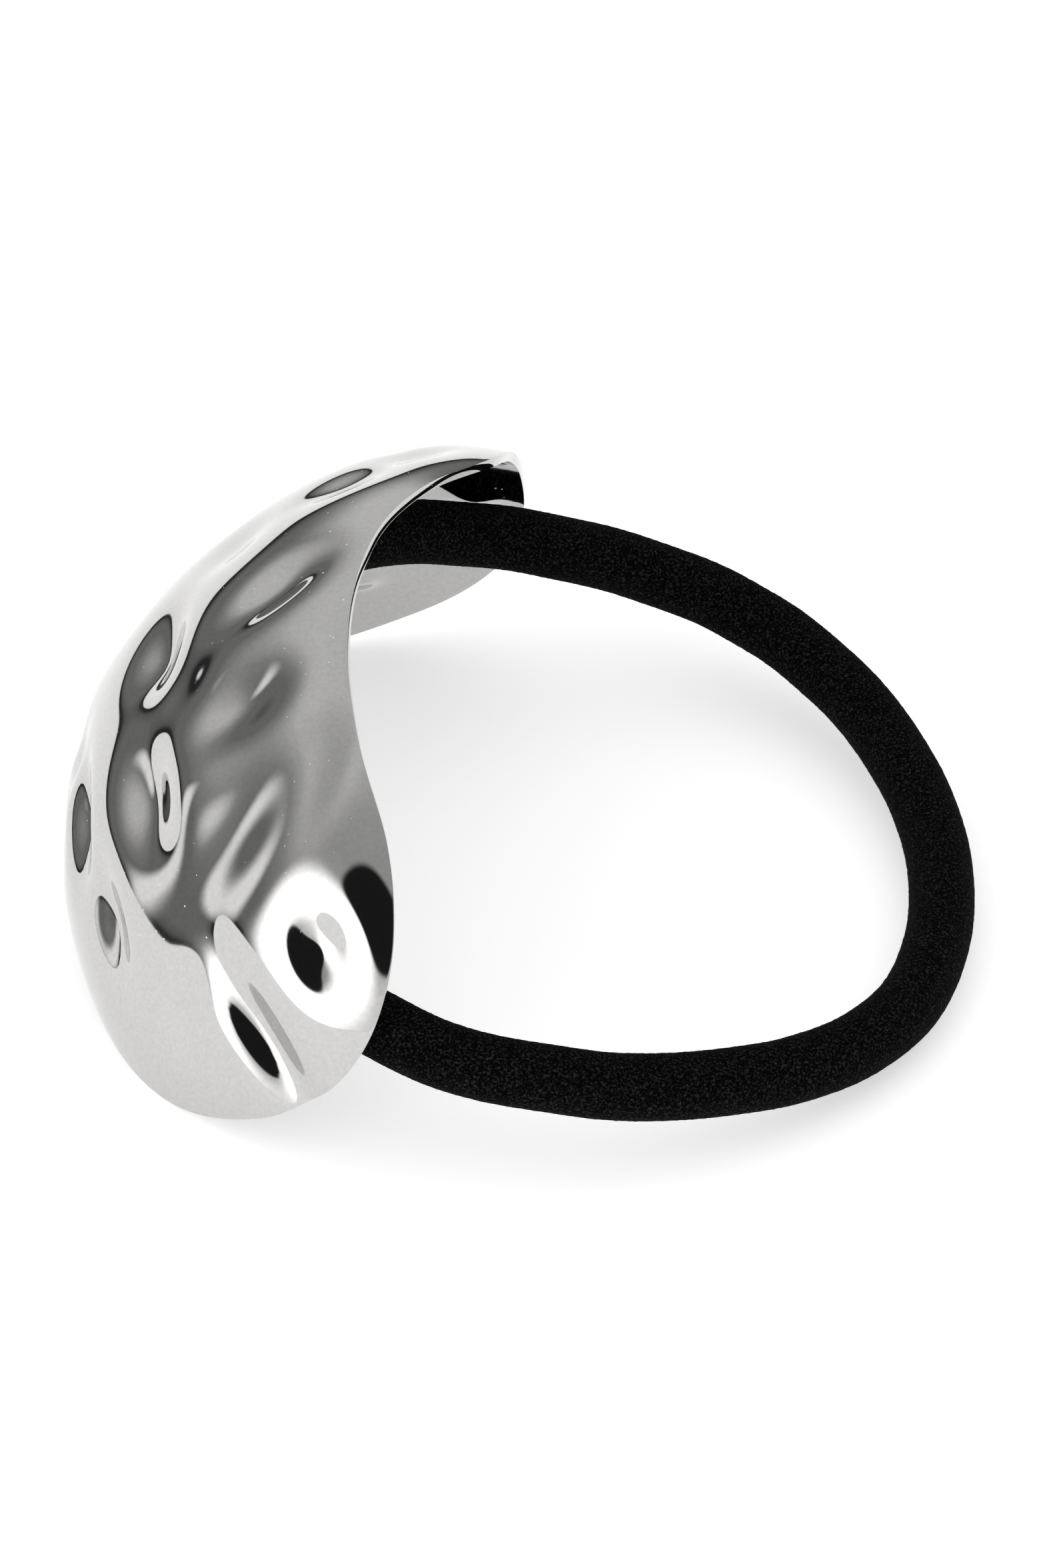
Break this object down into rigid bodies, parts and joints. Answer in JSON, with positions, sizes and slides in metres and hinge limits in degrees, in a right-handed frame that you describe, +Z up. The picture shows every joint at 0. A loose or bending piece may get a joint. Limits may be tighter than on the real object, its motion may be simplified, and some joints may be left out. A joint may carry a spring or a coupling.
{
  "type": "hair tie with hammered metal cuff",
  "caption": "Thick round elastic hair loop joined in a soldered sleeve behind a domed, curved oval metal plate with hammered dents.",
  "frame": {"origin": "centre of the object's outline on the ground it lies on, as it rests by itself", "axes": "+Z up, +X from the metal plate to the free end of the loop, Y along the length of the plate"},
  "size_m": [0.069, 0.0641, 0.0333],
  "materials": {
    "silver": "silver plate, hammered and polished to a mirror",
    "elastic": "black short-pile velour over rubber"
  },
  "bodies": {
    "root": {"cuff": "silver", "elastic": "elastic"}
  },
  "joints": []
}
